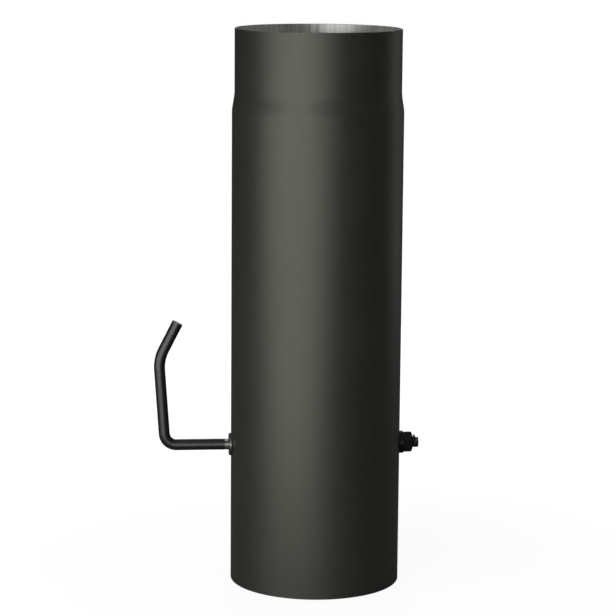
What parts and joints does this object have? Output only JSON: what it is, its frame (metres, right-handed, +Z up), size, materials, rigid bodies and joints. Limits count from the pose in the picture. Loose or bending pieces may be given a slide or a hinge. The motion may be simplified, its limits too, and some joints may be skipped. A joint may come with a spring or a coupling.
{
  "type": "stove pipe with throttle damper",
  "caption": "Straight round steel flue pipe with a drawn-in spigot at the top and a throttle damper low down, turned by a bent bar handle at one side.",
  "frame": {"origin": "the pipe's axis at the plane of its bottom rim", "axes": "+Z up along the pipe towards the spigot, +X along the damper spindle towards its nut, handle towards -X, weld seam towards +Y"},
  "size_m": [0.2403, 0.1533, 0.5],
  "materials": {
    "black_paint": "satin heat-proof black paint",
    "bar_paint": "satin heat-proof black paint over a drawn bar",
    "black_hardware": "black oxide, overpainted",
    "plate_steel": "bare mill-finish sheet",
    "zinc_hardware": "plain zinc"
  },
  "bodies": {
    "flue": {"pipe": "black_paint"},
    "damper": {"spindle_handle": "bar_paint", "handle_washer": "black_hardware", "inner_washer": "black_hardware", "outer_washer": "black_hardware", "spindle_nut": "black_hardware", "split_pin": "black_hardware", "damper_plate": "plate_steel", "saddle_left": "plate_steel", "saddle_right": "plate_steel", "saddle_bolts": "zinc_hardware", "spring_washers": "zinc_hardware", "saddle_nuts": "zinc_hardware"}
  },
  "joints": [
    {"name": "damper_turn", "type": "hinge", "parent": "flue", "child": "damper", "pos_m": [0, 0, 0.125], "axis": [1, 0, 0], "continuous": true}
  ]
}
